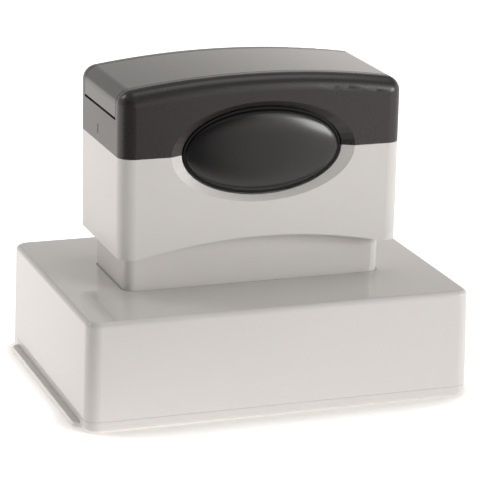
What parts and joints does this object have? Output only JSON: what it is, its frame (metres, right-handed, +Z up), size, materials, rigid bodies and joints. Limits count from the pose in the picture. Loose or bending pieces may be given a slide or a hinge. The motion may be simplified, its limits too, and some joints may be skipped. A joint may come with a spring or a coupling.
{
  "type": "pre-inked stamp",
  "caption": "Pre-inked desk stamp: a palm handle with a lift-off cap presses a sprung, inked foam die down through a skirt closed by a dust cover.",
  "frame": {"origin": "centre of the footprint, on the surface that the dust cover stands on", "axes": "+X along the long side to the right, +Y to the back, +Z up; the badge faces -Y"},
  "size_m": [0.124, 0.0866, 0.0985],
  "materials": {
    "shell_grey": "moulded, semi-gloss light grey",
    "cap_black": "moulded, satin smoke black",
    "strip_black": "moulded, satin smoke black",
    "badge_black": "high gloss dome, bare",
    "inner_grey": "moulded, matte",
    "felt_white": "ink-soaked felt",
    "foam_pink": "microporous foam, inked",
    "rubber_grey": "moulded rubber",
    "steel": "bright zinc"
  },
  "bodies": {
    "cover": {"dust_cover": "shell_grey"},
    "skirt": {"skirt_shell": "shell_grey", "return_spring_front_left": "steel", "return_spring_front_right": "steel", "return_spring_back_left": "steel", "return_spring_back_right": "steel", "spring_washers": "steel", "post_screws": "steel"},
    "handle": {"plunger": "shell_grey", "ink_pad": "felt_white", "die_backing": "inner_grey", "print_die": "foam_pink", "die_frame": "inner_grey", "ink_well_left": "inner_grey", "ink_well_right": "inner_grey", "handle_body": "shell_grey", "handle_screws": "steel"},
    "cap": {"top_cap": "cap_black", "cap_strip": "strip_black", "badge_plate": "cap_black", "badge_dome": "badge_black", "stopper_left": "rubber_grey", "stopper_right": "rubber_grey"}
  },
  "joints": [
    {"name": "cover_lift", "type": "slide", "parent": "cover", "child": "skirt", "axis": [0, 0, 1], "range_m": [0, 0.03]},
    {"name": "press", "type": "slide", "parent": "skirt", "child": "handle", "axis": [0, 0, -1], "range_m": [0, 0.006], "stiffness_N_per_m": 2000, "springref_m": -0.006, "deforming": ["return_spring_front_left", "return_spring_front_right", "return_spring_back_left", "return_spring_back_right"]},
    {"name": "cap_lift", "type": "slide", "parent": "handle", "child": "cap", "axis": [0, 0, 1], "range_m": [0, 0.035]}
  ]
}
